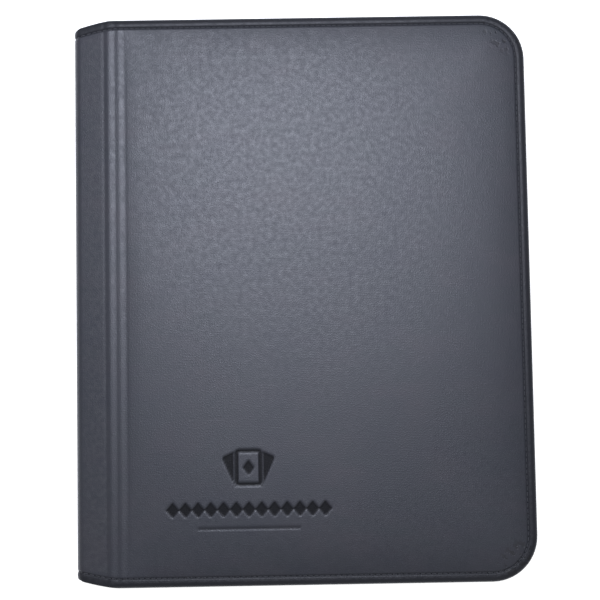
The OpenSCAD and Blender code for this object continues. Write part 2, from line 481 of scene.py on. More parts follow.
# Colours, in linear red, green and blue.
SLATE, SLATE_VIOLET, SLATE_GREY = (0.021, 0.024, 0.032), (0.019, 0.021, 0.031), (0.028, 0.027, 0.036)
# The pressed colour darkens the mark and paints shade; the rubbed colour shows wear and paints
# light.
SLATE_PRESSED_AND_SHADED, SLATE_RUBBED_AND_LIT = (0.006, 0.006, 0.007), (0.05, 0.051, 0.058)
# Painted shade for the gathers at the corners.
SLATE_GATHER_SHADE = (0.008, 0.008, 0.009)
GUNMETAL, GUNMETAL_WORN = (0.055, 0.056, 0.06), (0.2, 0.2, 0.21)

# Sizes of the leathercloth's grain, pores and backing weave, and how deep they are.
PEBBLE, PORE, WEAVE, GRAIN_DEPTH = 1.15 * MM, 0.45 * MM, 0.95 * MM, 0.034 * MM


def material(name, colour, roughness, specular=0.5, metallic=0.0, **more):
    """A new Principled material with these values on its shader."""
    made = bpy.data.materials.new(name)
    made.use_nodes = True
    shader = made.node_tree.nodes["Principled BSDF"]
    shader.inputs["Base Color"].default_value = (*colour, 1)
    shader.inputs["Roughness"].default_value = roughness
    shader.inputs["Specular IOR Level"].default_value = specular
    shader.inputs["Metallic"].default_value = metallic
    for key, value in more.items():
        shader.inputs[key.replace("_", " ")].default_value = value
    return made


class Nodes:
    """Short words for the nodes that the materials are made of."""

    def __init__(self, made):
        self.tree = made.node_tree
        self.shader = self.tree.nodes["Principled BSDF"]
        self.where = self.tree.nodes.new("ShaderNodeTexCoord").outputs["Object"]

    def link(self, value, socket):
        if isinstance(value, bpy.types.NodeSocket):
            self.tree.links.new(value, socket)
        else:
            socket.default_value = value

    def new(self, kind, **values):
        """A node of that kind, its inputs linked or set to the values."""
        node = self.tree.nodes.new("ShaderNode" + kind)
        for key, value in values.items():
            self.link(value, node.inputs[key])
        return node

    def scaled(self, x, y, z):
        return self.new("Mapping", Vector=self.where, Scale=(x, y, z)).outputs[0]

    def noise(self, size, detail, vector=None, roughness=0.5):
        node = self.new("TexNoise", Vector=vector or self.where, Scale=1 / size)
        node.inputs["Detail"].default_value = detail
        node.inputs["Roughness"].default_value = roughness
        return node.outputs["Fac"]

    def cells(self, size):
        node = self.new("TexVoronoi", Vector=self.where, Scale=1 / size)
        node.feature = "DISTANCE_TO_EDGE"
        return node.outputs["Distance"]

    def wave(self, size, axis, wobble):
        """Bands about a size apart."""
        scale = math.pi / 10 / size
        node = self.new("TexWave", Vector=self.where, Scale=scale, Distortion=wobble)
        node.bands_direction = axis
        return node.outputs["Fac"]

    def painted(self, key):
        node = self.new("Attribute")
        node.attribute_name = key
        return node.outputs["Fac"]

    def sum(self, operation, a, b):
        node = self.new("Math")
        node.operation = operation
        self.link(a, node.inputs[0])
        self.link(b, node.inputs[1])
        return node.outputs[0]

    def ramp(self, value, low, high, start=0.0, end=1.0):
        node = self.new("MapRange", Value=value)
        sockets = ("From Min", "From Max", "To Min", "To Max")
        for key, number in zip(sockets, (low, high, start, end)):
            node.inputs[key].default_value = number
        return node.outputs[0]

    def mix(self, share, a, b):
        node = self.new("Mix")
        node.data_type = "RGBA"
        for value, socket in zip((share, a, b), (node.inputs[0], node.inputs[6], node.inputs[7])):
            self.link((*value, 1) if isinstance(value, tuple) else value, socket)
        return node.outputs[2]

    def finish(self, colour, roughness, height, depth, specular=None):
        """Links what is given to the shader, and the height as a bump of that depth."""
        keys = ("Specular IOR Level", "Base Color", "Roughness")
        for key, value in zip(keys, (specular, colour, roughness)):
            if value:
                self.link(value, self.shader.inputs[key])
        relief = self.new("Bump", Strength=1.0, Distance=depth, Height=height)
        self.link(relief.outputs["Normal"], self.shader.inputs["Normal"])


def leather():
    """Slate leathercloth: pebbled and blotched, darker where pressed and with painted shade, paler
    where rubbed and with painted light.
    """
    made = material(
        "slate_leathercloth", SLATE, 0.45,
        Sheen_Weight=0.1, Sheen_Roughness=0.45, Sheen_Tint=(0.75, 0.85, 1.0, 1.0),
    )
    n = Nodes(made)
    streaks = n.noise(9 * MM, 4, n.scaled(0.35, 1.0, 1.0))
    blotch = n.noise(38 * MM, 3)
    tint = n.mix(n.ramp(blotch, 0.35, 0.65), SLATE_VIOLET, SLATE_GREY)
    tone = n.mix(n.ramp(streaks, 0.3, 0.7), SLATE, tint)
    # Darker where the mark is pressed; painted shade in the pressed lines, the seam, the rim and
    # towards the edges.
    pressed = n.mix(n.painted("press_and_shade"), tone, SLATE_PRESSED_AND_SHADED)
    patches = n.ramp(n.noise(2.5 * MM, 4), 0.4, 0.7, 0.1, 0.8)
    # Paler where the bead and rim are worn; painted light on the shoulder's slope.
    rubbed_and_lit = n.mix(n.sum("MULTIPLY", n.painted("wear_and_light"), patches), pressed, SLATE_RUBBED_AND_LIT)
    gathers = n.ramp(n.noise(3.2 * MM, 2, roughness=0.4), 0.52, 0.62)
    creased = n.sum("MULTIPLY", n.painted("pucker"), gathers)
    # Painted shade in the gathers at the corners.
    colour = n.mix(n.sum("MULTIPLY", creased, 0.75), rubbed_and_lit, SLATE_GATHER_SHADE)
    pebbles = n.ramp(n.cells(PEBBLE), 0.0, 0.32)
    grain = n.sum("ADD", pebbles, n.sum("MULTIPLY", n.noise(PORE, 2), 0.5))
    weave = n.sum("ADD", n.wave(WEAVE, "X", 1.2), n.wave(WEAVE, "Y", 1.2))
    height = n.sum("ADD", grain, n.sum("MULTIPLY", weave, 0.22))
    height = n.sum("SUBTRACT", height, n.sum("MULTIPLY", creased, 7.0))
    roughness = n.ramp(n.noise(3 * MM, 3), 0.3, 0.7, 0.38, 0.5)
    # Less gloss where the mark is pressed and where shade is painted.
    gloss = n.ramp(n.painted("press_and_shade"), 0.0, 1.0, 0.5, 0.06)
    n.finish(colour, roughness, height, GRAIN_DEPTH, gloss)
    return made


def cloth(name, colour, light, thread, depth):
    """Plain woven cloth, its threads running along two of its axes."""
    made = material(name, colour, 0.85, 0.25, Sheen_Weight=0.3, Sheen_Roughness=0.5)
    n = Nodes(made)
    warp, weft, over = (n.wave(thread, axis, 0.4) for axis in "XYZ")
    weave = n.sum("MAXIMUM", n.sum("MULTIPLY", warp, weft), over)
    slub = n.noise(1.6 * MM, 3, n.scaled(1.0, 0.2, 1.0))
    shade = n.sum("MULTIPLY", weave, n.ramp(slub, 0.3, 0.7, 0.5, 1.0))
    n.finish(n.mix(shade, colour, light), None, n.sum("ADD", weave, slub), depth)
    return made


def plastic(name, colour, roughness, grain, depth):
    """Moulded or rolled plastic with a fine haircell grain."""
    made = material(name, colour, roughness, 0.45)
    n = Nodes(made)
    cell = n.ramp(n.cells(grain), 0.0, 0.4)
    lighter = tuple(c * 1.35 + 0.004 for c in colour)
    tone = n.mix(n.noise(12 * MM, 3), colour, lighter)
    wiped = n.ramp(n.noise(4 * MM, 3), 0.3, 0.7, roughness - 0.08, roughness + 0.08)
    n.finish(tone, wiped, cell, depth)
    return made


def metal():
    """Gunmetal paint on a die casting, scratched in places."""
    made = material("gunmetal_paint", GUNMETAL, 0.35, metallic=0.75)
    n = Nodes(made)
    scratches = n.noise(0.6 * MM, 5, n.scaled(1.0, 1.0, 6.0))
    colour = n.mix(n.ramp(scratches, 0.52, 0.72), GUNMETAL, GUNMETAL_WORN)
    n.finish(colour, n.ramp(n.noise(1.5 * MM, 4), 0.3, 0.7, 0.25, 0.5), scratches, 0.01 * MM)
    return made


def film(name, colour, alpha, roughness):
    """Clear pocket film, faintly rippled."""
    made = material(name, colour, roughness, Alpha=alpha)
    n = Nodes(made)
    ripple = n.noise(16 * MM, 3)
    wiped = n.ramp(n.noise(5 * MM, 3), 0.3, 0.7, roughness, roughness + 0.1)
    n.finish(None, wiped, ripple, 0.35 * MM)
    return made


LEATHER = leather()
LINING = cloth("black_lining", (0.012, 0.012, 0.014), (0.035, 0.035, 0.04), 0.55 * MM, 0.08 * MM)
TAPE = cloth("zip_tape_weave", (0.016, 0.016, 0.018), (0.045, 0.045, 0.05), 0.4 * MM, 0.1 * MM)
THREAD = cloth("sewing_thread", (0.03, 0.031, 0.037), (0.07, 0.072, 0.082), 0.25 * MM, 0.05 * MM)
COIL = plastic("nylon_coil", (0.025, 0.025, 0.028), 0.38, 0.3 * MM, 0.01 * MM)
PAGE = plastic("black_page", (0.014, 0.014, 0.016), 0.5, 0.5 * MM, 0.02 * MM)
STRIP = plastic("binding_strip", (0.02, 0.02, 0.022), 0.55, 0.7 * MM, 0.03 * MM)
METAL = metal()
CLEAR = film("clear_film", (0.1, 0.105, 0.11), 0.4, 0.12)
WELD = film("welded_film", (0.2, 0.21, 0.22), 0.6, 0.35)


# ---------------- covers

# The edge's rings, in millimetres in from the outline: over the seam, then over the bead.
SEAM_RINGS = (9.0, 8.0, 7.2, 6.7, 6.3, 5.9, 5.5, 5.1, 4.7, 4.3, 3.8, 3.3, 2.9)
# The seam's groove: width and depth in millimetres, and how dark its painted shade is.
SEAM_W, SEAM_DEPTH, SEAM_SHADE = 0.55, 0.6, 0.75
BEAD, BEAD_W, BEAD_LIFT, BEAD_WEAR = 3.3, 1.1, 0.12, 0.35
# Where the painted shade of the rolled rim begins, in millimetres in from the outline, and over how
# much.
RIM_START, RIM_RUN = 6.2, 1.2
ROLL_STEPS, ROLL_WEAR = 8, 0.25

# How far the lining lies under the turned edge, and where the face's unevenness sets in.
LINING_STEP = 0.5 * MM
FADE_START, FADE_RUN, WANDER = 8 * MM, 12 * MM, 0.09 * MM

# Steps of the cover's grid: plain, in the mark, at the crease and down the shoulder.
PLAIN_STEP, CREASE_STEP, SHOULDER_STEP = 4 * MM, 0.45 * MM, 1.5 * MM
MARK_STEP_X, MARK_STEP_Y = 0.75 * MM, 0.7 * MM
CREASE_FROM, CREASE_TO = CREASE_X - 7 * MM, CREASE_X + 11 * MM


def hinge_lines(u):
    """Depth of the lines pressed beside the crease."""
    away = (u - CREASE_X) / MM
    return sum(depth * bump(away, centre, width) for centre, depth, width in HINGE_LINES) * MM


def hinge_shade(u):
    """Painted shade in those lines: the pressed ones are painted darker, as grooves shade."""
    away = (u - CREASE_X) / MM
    lines = (HINGE_LINE_SHADE * depth * bump(away, centre, width) for centre, depth, width in HINGE_LINES)
    return min(1.0, max(0.0, sum(lines)))


def shoulder_light(u):
    """Painted light: the slope beside the crease is painted paler, as it turns from the light."""
    return SHOULDER_LIGHT * rise(CREASE_X - u, MM, 4 * MM) * rise(u, FOLD_X, 9 * MM)


def cushion(u, inset, crown):
    """How far the padding stands proud."""
    across = 1 - math.exp(-max(0.0, inset - SEAM) / CROWN_SIDE_RUN)
    past = max(0.0, u - CREASE_X - CROWN_START)
    along = 1 - 0.2 * math.exp(-past / CROWN_STEP_RUN) - 0.8 * math.exp(-past / CROWN_SLOPE_RUN)
    return crown * across * along


def edge_profile(u, crown=0.0):
    """Rings from the padded face over the seam and the rolled edge to the lining."""
    thick, lines, shade = thickness(u), hinge_lines(u), hinge_shade(u)
    # Each ring: inset, depth, painted shade and wear.
    rings = []
    for inset in SEAM_RINGS:
        seam = bump(inset, SEAM / MM, SEAM_W)
        bead = bump(inset, BEAD, BEAD_W)
        proud = BEAD_LIFT * bead * MM + cushion(u, inset * MM, crown)
        # Painted shade in the seam's groove, in the pressed lines, on the rim and towards the edges.
        dark = max(SEAM_SHADE * seam, shade, RIM_SHADE * rise(RIM_START - inset, 0, RIM_RUN))
        dark = max(dark, edge_shade(u, inset * MM) if crown else 0)
        rings.append((inset * MM, SEAM_DEPTH * seam * MM - proud + lines, dark, BEAD_WEAR * bead))
    radius = thick / 2
    for k in range(ROLL_STEPS + 1):
        turn = math.pi * k / ROLL_STEPS
        fade = max(0.0, math.cos(turn))
        inset = radius * (1 - math.sin(turn))
        depth = radius * (1 - math.cos(turn)) + lines * fade
        # The rolled edge is painted dark all round: painted shade.
        dark = max(shade * fade, RIM_SHADE)
        rings.append((inset, depth, dark, ROLL_WEAR * math.sin(turn) ** 2))
    # The turned-in edge inside: a little painted shade and wear.
    rings += [(3.4 * MM, thick, 0.2, 0.1), (LINING_INSET, thick, 0.3, 0.0)]
    rings += [(LINING_INSET + 0.4 * MM, thick - LINING_STEP, 0.6, 0.0)]
    return rings


def card_outline(x, y, angle, lean):
    """Distance from the outline of one card of the fan, negative inside it."""
    c, s = math.cos(angle), math.sin(angle)
    dx, dy = x - lean, y
    across, up = dx * c + dy * s, -dx * s + dy * c
    ax, ay = abs(across) - CARD_W + CARD_R, abs(up) - CARD_H + CARD_R
    return math.hypot(max(ax, 0), max(ay, 0)) + min(max(ax, ay), 0) - CARD_R


def fan(x, y):
    """The front card as a line with a gem in it, and the two behind it pressed whole."""
    front = card_outline(x, y, 0.0, 0.0)
    behind = min(card_outline(x, y, way * FAN_TURN, -way * FAN_SPREAD) for way in (-1, 1))
    line = 1 - rise(abs(front), CARD_LINE, CARD_SOFT)
    whole = (1 - rise(behind, CARD_REACH, CARD_SOFT)) * rise(front, CARD_GAP, CARD_SOFT)
    gem = 1 - rise(abs(x) / GEM_W + abs(y) / GEM_H, *GEM_EDGE)
    return max(line, whole, gem)


def mark(x, y):
    """The pressed mark: a fan of three plain cards over a row of lozenges and a rule."""
    x, y = x / MM - MARK_X, y / MM
    pressed = 0.0
    if abs(y - FAN_Y) < FAN_HALF_H and abs(x) < FAN_HALF_W:
        pressed = fan(x, y - FAN_Y)
    if abs(x) < ROW_HALF_W:
        beside = (x + ROW_STEP / 2) % ROW_STEP - ROW_STEP / 2
        lozenge = abs(beside) / LOZENGE_W + abs(y - ROW_Y) / LOZENGE_H
        pressed = max(pressed, 1 - rise(lozenge, *LOZENGE_EDGE))
    rule = rise(RULE_HALF_W - abs(x), 0, RULE_END)
    return max(pressed, RULE_TONE * rule * (1 - rise(abs(y - RULE_Y), *RULE_EDGE)))


def wander(u, y):
    """Slow unevenness of a hand-glued cover."""
    slow = math.sin(u / (31 * MM) + 1.3) * math.cos(y / (43 * MM))
    return WANDER * (slow + 0.6 * math.sin(y / (17 * MM) + u / (52 * MM)))


def edge_shade(u, inset):
    """Painted shade: the covering is painted darker towards its edges."""
    return EDGE_SHADE * math.exp(-inset / (15 * MM)) * rise(u - CREASE_X, 4 * MM, 20 * MM)


def cover_face(side):
    """The layer that a cover shows at a point: depth, mark and painted shade, and painted light."""
    def top(u, y):
        inset = inset_of(u, y)
        pressed = mark(u, y) if side == "front" else 0.0
        fade = rise(inset, GRID_INSET, FADE_RUN) * rise(u - CREASE_X, FADE_START, FADE_RUN)
        swell = cushion(u, inset, CROWNS[side]) - wander(u, y) * fade
        depth = hinge_lines(u) - swell + MARK_DEPTH * pressed
        # Darker where the mark is pressed, with painted shade in the pressed lines and towards the
        # edges.
        shade = max(hinge_shade(u), MARK_TONE * pressed, edge_shade(u, inset))
        return depth, shade, shoulder_light(u)
    return top


# The inner face: its depth, a little painted shade, and no wear.
def cover_inside(u, y):
    return thickness(u) - LINING_STEP, 0.3, 0.0


def rows_for(marked):
    """Shares of the half height, closer together where the mark is pressed."""
    reach = HALF_H - GRID_INSET
    if not marked:
        return [y / reach for y in spread(-reach, reach, 5 * MM)]
    values = joined(
        spread(-reach, LOW_LINE, 3 * MM),
        spread(LOW_LINE, HIGH_LINE, MARK_STEP_Y),
        spread(HIGH_LINE, reach, PLAIN_STEP),
    )
    return [y / reach for y in values]


def outer_seam(u, sunk):
    return 0.42 * MM + hinge_lines(u) + sunk


def inner_seam(u, sunk):
    return thickness(u) - 0.05 * MM - sunk


def cover(side):
    """The padded cover with its crease and half of the shoulder, in one skin."""
    marked = side == "front"
    places = joined(
        spread(MID_SHOULDER, CREASE_FROM, SHOULDER_STEP),
        spread(CREASE_FROM, CREASE_TO, CREASE_STEP),
        spread(CREASE_TO, MARK_LEFT, 3 * MM),
        spread(MARK_LEFT, MARK_RIGHT, MARK_STEP_X if marked else PLAIN_STEP),
        spread(MARK_RIGHT, CORNER_X, PLAIN_STEP),
    )
    shell = Shell(side)
    stations = [straight(u) for u in places] + corner_stations()
    profile = partial(edge_profile, crown=CROWNS[side])
    slab(shell, stations, rows_for(marked), cover_face(side), cover_inside, profile, True, 1)
    total, at = rim(SEAM, MID_SHOULDER)

    def seam(face):
        def place(s, sunk):
            spot, _ = at(s)
            y = spot.y - math.copysign(HALF_H - half_height(spot.x), spot.y)
            return lifted(spot.x, y, face(spot.x, sunk))
        return place

    sew(shell, seam(outer_seam), total, 2)
    sew(shell, seam(inner_seam), total, 2)
    piece = shell.make(f"{side}_cover_leather", LEATHER, LINING, THREAD)
    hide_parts(*(f"{side}_{name}" for name in ("skin", "foam", "board")))
    bodies = (f"{side}_shoulder", f"{side}_cover")
    bend(piece, side, bodies, CREASE_X - 4 * MM, CREASE_X + 4 * MM)


def surface_point(side, u):
    point, _ = section(u)
    return (point.x, 0, point.y if side == "front" else TOP - point.y)


def bend(piece, side, bodies, start_u, end_u):
    """Bakes the piece's placement into its mesh."""
    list(bodies)
    surface_point(side, start_u)
    surface_point(side, end_u)
    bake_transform(piece)


def spine_skin(side):
    """Half of the spine and half of the shoulder, over the fold between them."""
    fold_u = CREASE_X - math.hypot(CREASE_X - FOLD_X, TOP - FOLD_Z)
    places = joined(
        spread(SECTION_END, fold_u - 7 * MM, 3 * MM),
        spread(fold_u - 7 * MM, fold_u + 7 * MM, 0.5 * MM),
        spread(fold_u + 7 * MM, MID_SHOULDER, SHOULDER_STEP),
    )
    shell = Shell(side)
    stations = [straight(u) for u in places]

    def top(u, y):
        # Depth, painted shade in the pressed lines, and painted light on the shoulder.
        return hinge_lines(u), hinge_shade(u), shoulder_light(u)

    slab(shell, stations, rows_for(False), top, cover_inside, edge_profile, False, 1)
    for way in (-1, 1):
        for face in (outer_seam, inner_seam):
            def place(s, sunk):
                u = SECTION_END + s
                return lifted(u, way * (half_height(u) - SEAM), face(u, sunk))
            sew(shell, place, MID_SHOULDER - SECTION_END, 2)
    piece = shell.make(f"{side}_spine_leather", LEATHER, LINING, THREAD)
    bend(piece, side, ("spine", f"{side}_shoulder"), fold_u - 4.5 * MM, fold_u + 5 * MM)
    return piece


# ---------------- lining, zip and pages

# The lining's rolled edge, in millimetres: in from the outline, and under the surface.
LINING_RINGS = ((8.2, 4.62), (7.6, 4.66), (7.35, 4.8), (7.35, 4.95), (7.7, 5.06), (8.4, 5.1))
LINING_UNDER, LINING_SHOWN, LINING_EDGE = 4.62 * MM, 5.1 * MM, 7.35 * MM

# The tape: a raised rib along it, and where its two seams are, in from its long edges.
TAPE_T, TAPE_EASE, RIB = 0.8 * MM, 0.25 * MM, 0.14 * MM
TAPE_SEAM_HIGH, TAPE_SEAM_LOW, TAPE_SEAM_PROUD = 2.2 * MM, 5.6 * MM, 0.12 * MM

# The coil: its wire's radius, the pitch of its turns, the steps in one, and its cord.
WIRE_R, COIL_PITCH, COIL_STEPS, WIRE_SIDES = 0.33 * MM, 1.55 * MM, 9, 5
CORD_W, CORD_H, CORD_SIDES = 0.3 * MM, 0.8 * MM, 8

TAB_T = 1.0 * MM

# The slider's plates, bridge, flanges and arch, and the pull.
SLIDER_HALF_L, PLATE_LIFT = 7.0 * MM, 2.8 * MM
PLATE_T, INNER_PLATE_T, PLATE_SOFT = 1.3 * MM, 1.2 * MM, 0.4 * MM
BRIDGE_HALF, FLANGE_T, FLANGE_HALF_L, FLANGE_W = 0.6 * MM, 0.45 * MM, 4.8 * MM, 2.4 * MM
ARCH_L, ARCH_IN, ARCH_T = 4.0 * MM, 2.8 * MM, 1.0 * MM
PULL_NECK, PULL_ARM, PULL_WAIST, PULL_SOFT = 6.3 * MM, 1.6 * MM, 0.14, 0.3 * MM
PULL_HOLE_R, PIN_R, ARM_R, RIDGE_PITCH = 1.5 * MM, 0.58 * MM, 0.6 * MM, 1.9 * MM

# Sheets, films and welds of a leaf.
PAGE_T, FLEX_T, PAGE_CORNER, PAGE_NARROWED = 0.25 * MM, 0.12 * MM, 4 * MM, 10 * MM
WELD_W, WELD_T, WELD_Z = 3 * MM, 0.06 * MM, 0.13 * MM
POCKET_LOW, POCKET_HIGH = 0.14 * MM, 0.44 * MM
POCKET_SHARES = (0.0, 0.012, 0.04, 0.1, 0.3, 0.5, 0.7, 0.9, 0.96, 0.988, 1.0)
ACROSS = 3


def lining(side):
    """The cloth inside a cover, glued down up to the turned-in edge."""
    start = CREASE_X + 4 * MM

    def profile(u):
        return [(inset * MM, depth * MM) for inset, depth in LINING_RINGS]

    def flat(depth):
        return lambda u, y: (depth,)

    shell = Shell(side)
    places = spread(start, CORNER_X, 5 * MM)
    stations = [straight(u) for u in places] + corner_stations()
    slab(shell, stations, rows_for(False), flat(LINING_UNDER), flat(LINING_SHOWN), profile, True)
    piece = shell.make(f"{side}_cover_lining", LINING)
    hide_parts(f"{side}_lining")
    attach(piece, f"{side}_cover")


def zip_tape(side):
    """Woven tape standing round three sides, stitched near the cover and above the coil."""
    shell = Shell(side)
    low, high = TAPE_LOW.z, TAPE_HIGH.z
    ring = [
        (0.0, high), (0.0, low + 4.2 * MM), (-RIB, low + 4.0 * MM), (-RIB, low + 3.4 * MM),
        (0.0, low + 3.2 * MM), (0.0, low + TAPE_EASE), (0.2 * MM, low), (0.6 * MM, low),
        (TAPE_T, low + TAPE_EASE), (TAPE_T, high),
    ]
    total = ribbon(shell, ring, TAPE_LOW.x)
    _, at = rim(ZIP_INSET, TAPE_LOW.x)
    for height in (high - TAPE_SEAM_HIGH, low + TAPE_SEAM_LOW):
        def place(s, sunk):
            spot, out = at(s)
            return Vector((*(spot + out * (TAPE_SEAM_PROUD - sunk)), height))
        sew(shell, place, total, 1)
    piece = shell.make(f"{side}_zip_tape_woven", TAPE, THREAD)
    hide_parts(f"{side}_zip_tape")
    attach(piece, f"{side}_cover")


def zip_coil(side):
    """The nylon coil of one row, wound on its cord."""
    shell = Shell(side)
    start_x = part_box(f"{side}_zip_coil")[0].x
    total, at = rim(ZIP_INSET, start_x)
    low, high = COIL_LOW.z, COIL_HIGH.z
    across, up = COIL_D / 2 - WIRE_R, (high - low) / 2 - WIRE_R
    middle = (low + high) / 2
    turns = int((total - 2 * WIRE_R) / COIL_PITCH)
    centres, ways = [], []
    for k in range(turns * COIL_STEPS + 1):
        turn = 2 * math.pi * k / COIL_STEPS
        spot, out = at(WIRE_R + (total - 2 * WIRE_R) * k / (turns * COIL_STEPS))
        flat_spot = spot + out * (COIL_D / 2 + across * math.cos(turn))
        centres.append(Vector((*flat_spot, middle + up * math.sin(turn))))
        ways.append(Vector((-out.y, out.x, 0)))
    tube(shell, centres, WIRE_R, WIRE_SIDES, 0, across=ways)
    ring = []
    for k in range(CORD_SIDES):
        turn = 2 * math.pi * k / CORD_SIDES
        ring.append((CORD_W * math.cos(turn) - COIL_D / 2, middle + CORD_H * math.sin(turn)))
    ribbon(shell, ring, start_x, 1)
    piece = shell.make(f"{side}_zip_coil_wound", COIL, THREAD, crisp=60)
    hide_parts(f"{side}_zip_coil")
    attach(piece, f"{side}_cover")


def end_tabs():
    """The two ends of the tape, sewn to the spine."""
    low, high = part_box("zip_end_tabs")
    shell = Shell()
    inner, seam_end = high.y - TAB_T, 1.6 * MM
    outline = rectangle(low.x, low.z, high.x, high.z, 1.8 * MM)
    for way in (-1, 1):
        prism(shell, outline, TAB_T, lambda a, b, h: (a, way * (inner + h), b), 0.3 * MM)
        for seam_x in (high.x - 2.2 * MM, low.x + 3.4 * MM):
            def place(s, sunk):
                return Vector((seam_x, way * (high.y + 0.1 * MM - sunk), low.z + seam_end + s))
            sew(shell, place, high.z - low.z - 2 * seam_end, 1)
    piece = shell.make("zip_end_tabs_sewn", TAPE, THREAD)
    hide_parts("zip_end_tabs")
    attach(piece, "spine")


def slider():
    """The die-cast slider: a plate each side of the tape, a bridge, flanges and a crown."""
    low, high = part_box("zip_slider")
    middle, wide = (low.x + high.x) / 2, (high.z - low.z) / 2
    shell = Shell()
    outer_face, inner_face = low.y + PLATE_LIFT, high.y
    upper = [
        (SLIDER_HALF_L, 0.55 * wide), (5.4 * MM, wide), (2.5 * MM, wide),
        (-SLIDER_HALF_L, 0.82 * wide),
    ]
    shield = eased([(x, -z) for x, z in reversed(upper)] + upper, 1.2 * MM)

    def facing(at_y):
        return lambda a, b, h: (middle + a, at_y + h, MID + b)

    prism(shell, shield, PLATE_T, facing(outer_face), PLATE_SOFT)
    prism(shell, shield, INNER_PLATE_T, facing(inner_face - INNER_PLATE_T), PLATE_SOFT)
    bridge = rectangle(2.6 * MM, -BRIDGE_HALF, 6.6 * MM, BRIDGE_HALF, 0.4 * MM)
    bridge_t = inner_face - outer_face - INNER_PLATE_T
    prism(shell, bridge, bridge_t, facing(outer_face + 0.6 * MM), 0.1 * MM)
    for way in (-1, 1):
        z = way * (wide - FLANGE_T)
        flange = rectangle(-FLANGE_HALF_L, z - FLANGE_T, FLANGE_HALF_L, z + FLANGE_T, 0.3 * MM)
        prism(shell, flange, FLANGE_W, facing(outer_face + 0.7 * MM), 0.2 * MM)
    foot, inside = outer_face + 0.4 * MM, low.y + ARCH_T
    arch = eased([
        (-ARCH_L, foot), (-ARCH_L, low.y), (ARCH_L, low.y), (ARCH_L, foot),
        (ARCH_IN, foot), (ARCH_IN, inside), (-ARCH_IN, inside), (-ARCH_IN, foot),
    ], 0.45 * MM)
    prism(shell, arch, 2 * ARCH_T, lambda a, b, h: (middle + a, b, MID - ARCH_T + h), 0.25 * MM)
    piece = shell.make("zip_slider_cast", METAL)
    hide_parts("zip_slider")
    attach(piece, "zip_slider")


def pull_outline(neck, hole_x, half):
    """The pull's plate: a square neck, waisted sides and a round end about its hole."""
    sides = []
    for share in spread(0, 1, 1 / 12):
        waist = 1 - PULL_WAIST * math.sin(math.pi * share)
        sides.append((neck + (hole_x - neck) * share, half * waist))
    turns = [math.pi * k / 20 for k in range(1, 20)]
    outline = [Vector((x, -y)) for x, y in sides]
    outline += [Vector((hole_x + half * math.sin(a), -half * math.cos(a))) for a in turns]
    outline += [Vector((x, y)) for x, y in reversed(sides)]
    return outline + [Vector((neck, half * (1 - k / 4))) for k in range(1, 8)]


def pull():
    """The flat pull: a pin under the crown, two arms and a plate with a hole."""
    low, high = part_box("zip_pull")
    pin_x, pin_y, _ = JOINTS["pull_swing"]["pos_m"]
    half, thick = (high.z - low.z) / 2, high.y - low.y
    hole_x, neck = high.x - half, pin_x + PULL_NECK
    shell = Shell()

    def facing(a, b, h):
        return a, low.y + h, MID + b

    plate = pull_outline(neck, hole_x, half)
    prism(shell, plate, thick, facing, PULL_SOFT, hole=((hole_x, 0), PULL_HOLE_R))
    for way in (-1, 1):
        near, far = sorted((way * (half - PULL_ARM), way * half))
        arm = rectangle(pin_x - ARM_R, near, neck + ARM_R, far, 0.5 * MM)
        prism(shell, arm, thick, facing, PULL_SOFT)
        for k in range(3):
            x = neck + 2.2 * MM + k * RIDGE_PITCH
            y = (low.y if way < 0 else high.y) + way * 0.08 * MM
            bar = [Vector((x, y, MID + z * half)) for z in (-0.62, 0.0, 0.62)]
            tube(shell, bar, 0.22 * MM)
    pin = [Vector((pin_x, pin_y, MID + z * (half - 0.5 * MM))) for z in (-1, 0, 1)]
    tube(shell, pin, PIN_R, 12)
    piece = shell.make("zip_pull_plate", METAL)
    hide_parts("zip_pull")
    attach(piece, "zip_pull")


def leaf_names():
    return sorted(name[:-len("_sheet")] for name in frame["nodes"] if name.endswith("_sheet"))


def page_binding():
    """The strip that the pages are welded to, with a bead along each weld."""
    low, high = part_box("page_binding")
    shell = Shell()
    outline = rectangle(low.y, low.z, high.y, high.z, 1.2 * MM)
    thick = high.x - low.x - 0.1 * MM
    prism(shell, outline, thick, lambda a, b, h: (low.x + h, a, b), 0.3 * MM)
    for leaf in leaf_names():
        near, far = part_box(leaf + "_sheet")
        z = (near.z + far.z) / 2
        run = spread(near.y + 11 * MM, far.y - 11 * MM, 90 * MM)
        tube(shell, [Vector((high.x - 0.15 * MM, y, z)) for y in run], 0.32 * MM, 8)
    piece = shell.make("page_binding_welded", STRIP)
    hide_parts("page_binding")
    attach(piece, "spine")


def level(thick):
    """Places a plate of that thickness flat, its middle on z 0."""
    return lambda a, b, h: (a, b, h - thick / 2)


def page(low, high):
    """One backing sheet, flat on z 0, thinner along the line where it flexes."""
    shell = Shell()
    half, root, free = high.y, low.x, high.x
    narrow, flex = half - PAGE_NARROWED, root + 4.5 * MM
    upper = [(flex, narrow), (root + 12 * MM, half - 1.5 * MM), (root + 17 * MM, half)]
    for turn in spread(0, math.pi / 2, math.pi / 12):
        x, y = free - PAGE_CORNER, half - PAGE_CORNER
        upper.append((x + PAGE_CORNER * math.sin(turn), y + PAGE_CORNER * math.cos(turn)))
    outline = [Vector((x, -y)) for x, y in upper] + [Vector(p) for p in reversed(upper)]
    prism(shell, outline, PAGE_T, level(PAGE_T), 0.07 * MM)
    strip = rectangle(root + 0.05 * MM, -narrow, flex + 0.6 * MM, narrow, 0.3 * MM)
    prism(shell, strip, FLEX_T, level(FLEX_T), 0.03 * MM)
    return shell.make("page_pattern", PAGE)


